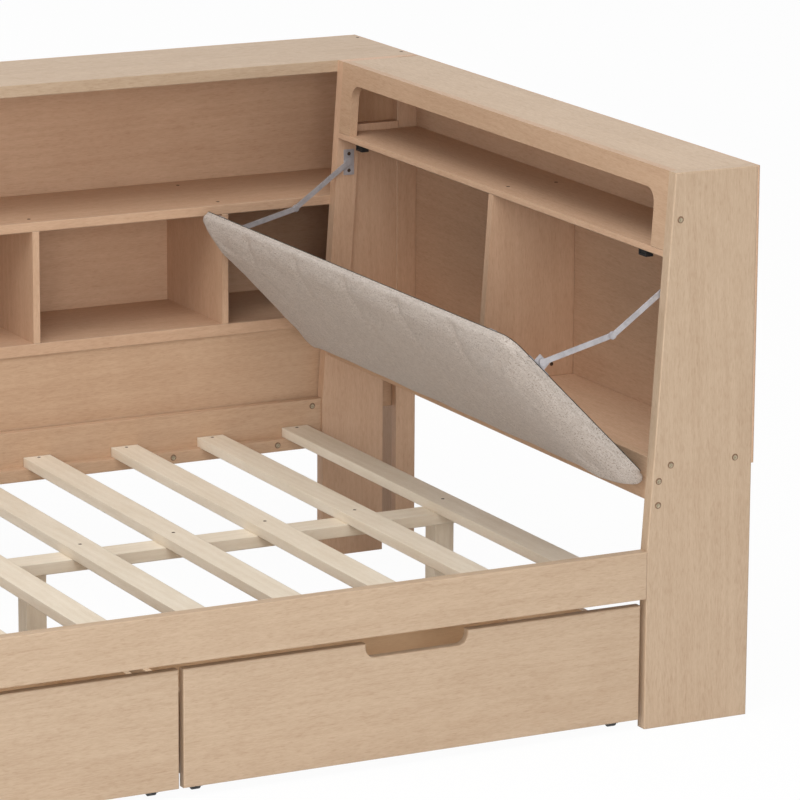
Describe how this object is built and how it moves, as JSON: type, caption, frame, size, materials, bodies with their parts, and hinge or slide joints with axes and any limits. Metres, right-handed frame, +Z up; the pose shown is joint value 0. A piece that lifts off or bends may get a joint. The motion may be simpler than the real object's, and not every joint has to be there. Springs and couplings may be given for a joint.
{
  "type": "corner storage bed",
  "caption": "Slatted bed in an L of bookcases: headboard cupboard with padded drop flap on folding stays, side bookcase and rolling under-bed drawers.",
  "frame": {"origin": "centre of the overall box at floor level", "axes": "+X along the bed towards the headboard, +Y towards the long side bookcase, +Z up"},
  "size_m": [2.199, 1.703, 1.08],
  "materials": {
    "veneer": "satin maple veneer on board",
    "slat_wood": "planed pale softwood",
    "drawer_board": "plain board",
    "lined_board": "board faced with black lining cloth",
    "pad_fabric": "heathered linen weave over foam",
    "steel": "dull zinc plate",
    "black_plastic": "moulded",
    "wheel_plastic": "moulded"
  },
  "bodies": {
    "bed_frame": {"near_end_panel": "veneer", "far_end_panel": "veneer", "corner_post": "veneer", "headboard_top": "veneer", "headboard_fascia": "veneer", "headboard_shelf": "veneer", "headboard_divider": "veneer", "headboard_bottom_shelf": "veneer", "headboard_lower_rail": "veneer", "headboard_back_panel": "veneer", "bookcase_top": "veneer", "bookcase_left_panel": "veneer", "bookcase_right_panel": "veneer", "bookcase_middle_shelf": "veneer", "bookcase_bottom_shelf": "veneer", "bookcase_dividers": "veneer", "bookcase_apron": "veneer", "bookcase_back_panel": "veneer", "front_rail": "veneer", "back_rail": "veneer", "foot_panel": "veneer", "front_cleat": "veneer", "back_cleat": "veneer", "centre_beam": "slat_wood", "centre_legs": "slat_wood", "slat_01": "slat_wood", "slat_02": "slat_wood", "slat_03": "slat_wood", "slat_04": "slat_wood", "slat_05": "slat_wood", "slat_06": "slat_wood", "slat_07": "slat_wood", "slat_08": "slat_wood", "slat_09": "slat_wood", "slat_10": "slat_wood", "hinge_frame_leaves": "steel", "hinge_pins": "steel", "stay_wall_plates": "steel", "flap_catches": "black_plastic"},
    "flap": {"flap_board": "lined_board", "flap_pad": "pad_fabric", "hinge_flap_leaves": "steel", "stay_flap_brackets": "steel", "catch_strikes": "steel"},
    "stay_upper_arms": {"stay_upper_arms": "steel"},
    "stay_lower_arms": {"stay_lower_arms": "steel"},
    "right_drawer": {"right_drawer_front": "veneer", "right_drawer_sides": "drawer_board", "right_drawer_back": "drawer_board", "right_drawer_floor": "drawer_board", "right_drawer_casters": "black_plastic"},
    "right_drawer_front_wheels": {"right_drawer_front_wheels": "wheel_plastic"},
    "right_drawer_rear_wheels": {"right_drawer_rear_wheels": "wheel_plastic"},
    "left_drawer": {"left_drawer_front": "veneer", "left_drawer_sides": "drawer_board", "left_drawer_back": "drawer_board", "left_drawer_floor": "drawer_board", "left_drawer_casters": "black_plastic"},
    "left_drawer_front_wheels": {"left_drawer_front_wheels": "wheel_plastic"},
    "left_drawer_rear_wheels": {"left_drawer_rear_wheels": "wheel_plastic"}
  },
  "joints": [
    {"name": "flap_hinge", "type": "hinge", "parent": "bed_frame", "child": "flap", "pos_m": [0.87799, -0.143, 0.496], "axis": [0, 1, 0], "range_deg": [0, 48]},
    {"name": "stay_upper_pivot", "type": "hinge", "parent": "bed_frame", "child": "stay_upper_arms", "pos_m": [0.9295, -0.143, 0.865], "axis": [0, 1, 0], "range_deg": [-106, 0]},
    {"name": "stay_lower_pivot", "type": "hinge", "parent": "flap", "child": "stay_lower_arms", "pos_m": [0.65411, -0.143, 0.73728], "axis": [0, 1, 0], "range_deg": [-12, 0]},
    {"name": "right_drawer_slide", "type": "slide", "parent": "bed_frame", "child": "right_drawer", "axis": [0, -1, 0], "range_m": [0, 0.42]},
    {"name": "right_front_wheels_roll", "type": "hinge", "parent": "right_drawer", "child": "right_drawer_front_wheels", "pos_m": [0.3815, -0.8035, 0.014], "axis": [1, 0, 0], "continuous": true},
    {"name": "right_rear_wheels_roll", "type": "hinge", "parent": "right_drawer", "child": "right_drawer_rear_wheels", "pos_m": [0.3815, -0.3875, 0.014], "axis": [1, 0, 0], "continuous": true},
    {"name": "left_drawer_slide", "type": "slide", "parent": "bed_frame", "child": "left_drawer", "axis": [0, -1, 0], "range_m": [0, 0.42]},
    {"name": "left_front_wheels_roll", "type": "hinge", "parent": "left_drawer", "child": "left_drawer_front_wheels", "pos_m": [-0.5855, -0.8035, 0.014], "axis": [1, 0, 0], "continuous": true},
    {"name": "left_rear_wheels_roll", "type": "hinge", "parent": "left_drawer", "child": "left_drawer_rear_wheels", "pos_m": [-0.5855, -0.3875, 0.014], "axis": [1, 0, 0], "continuous": true}
  ],
  "couplings": [
    {"joint": "stay_upper_pivot", "follows": "flap_hinge", "ratio": -2.1407},
    {"joint": "stay_lower_pivot", "follows": "flap_hinge", "ratio": -0.19616},
    {"joint": "right_front_wheels_roll", "follows": "right_drawer_slide", "rad_per_m": 71.429},
    {"joint": "right_rear_wheels_roll", "follows": "right_drawer_slide", "rad_per_m": 71.429},
    {"joint": "left_front_wheels_roll", "follows": "left_drawer_slide", "rad_per_m": 71.429},
    {"joint": "left_rear_wheels_roll", "follows": "left_drawer_slide", "rad_per_m": 71.429}
  ]
}
